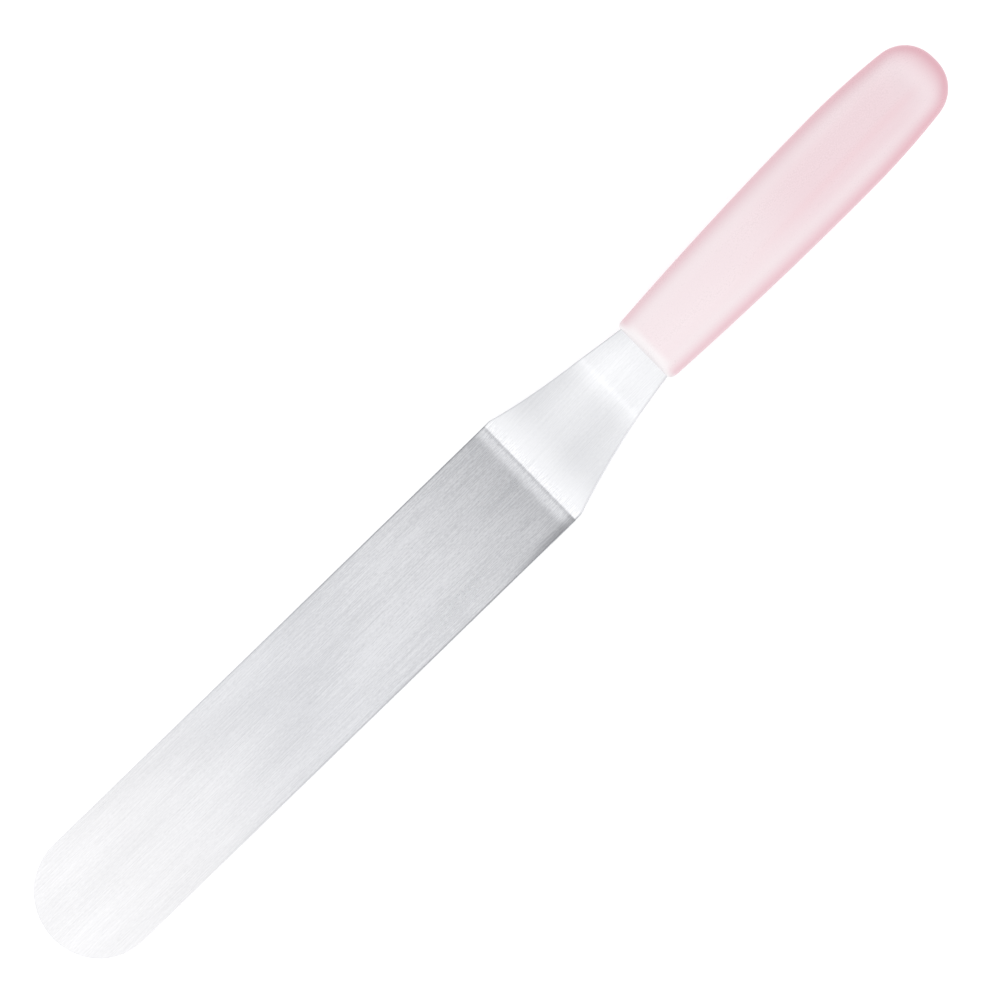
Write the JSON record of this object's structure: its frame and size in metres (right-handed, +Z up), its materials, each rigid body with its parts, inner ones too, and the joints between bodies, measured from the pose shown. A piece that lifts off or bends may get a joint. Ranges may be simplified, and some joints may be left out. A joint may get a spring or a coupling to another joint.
{
  "type": "offset palette knife",
  "caption": "Cranked palette knife for icing: a long round-ended steel blade stepped down from an oval plastic handle moulded over its tang.",
  "frame": {"origin": "middle of the blade's flat underside, halfway from the tip to the crease at the heel and on the knife's centre plane", "axes": "+X along the knife from the blade's tip to the handle's butt, +Y across the blade, +Z up, out of the blade's upper face and towards the side on which the handle is raised"},
  "size_m": [0.3267, 0.0352, 0.0399],
  "materials": {
    "steel": "satin",
    "pink_plastic": "satin"
  },
  "bodies": {
    "root": {"blade": "steel", "handle": "pink_plastic"}
  },
  "joints": []
}
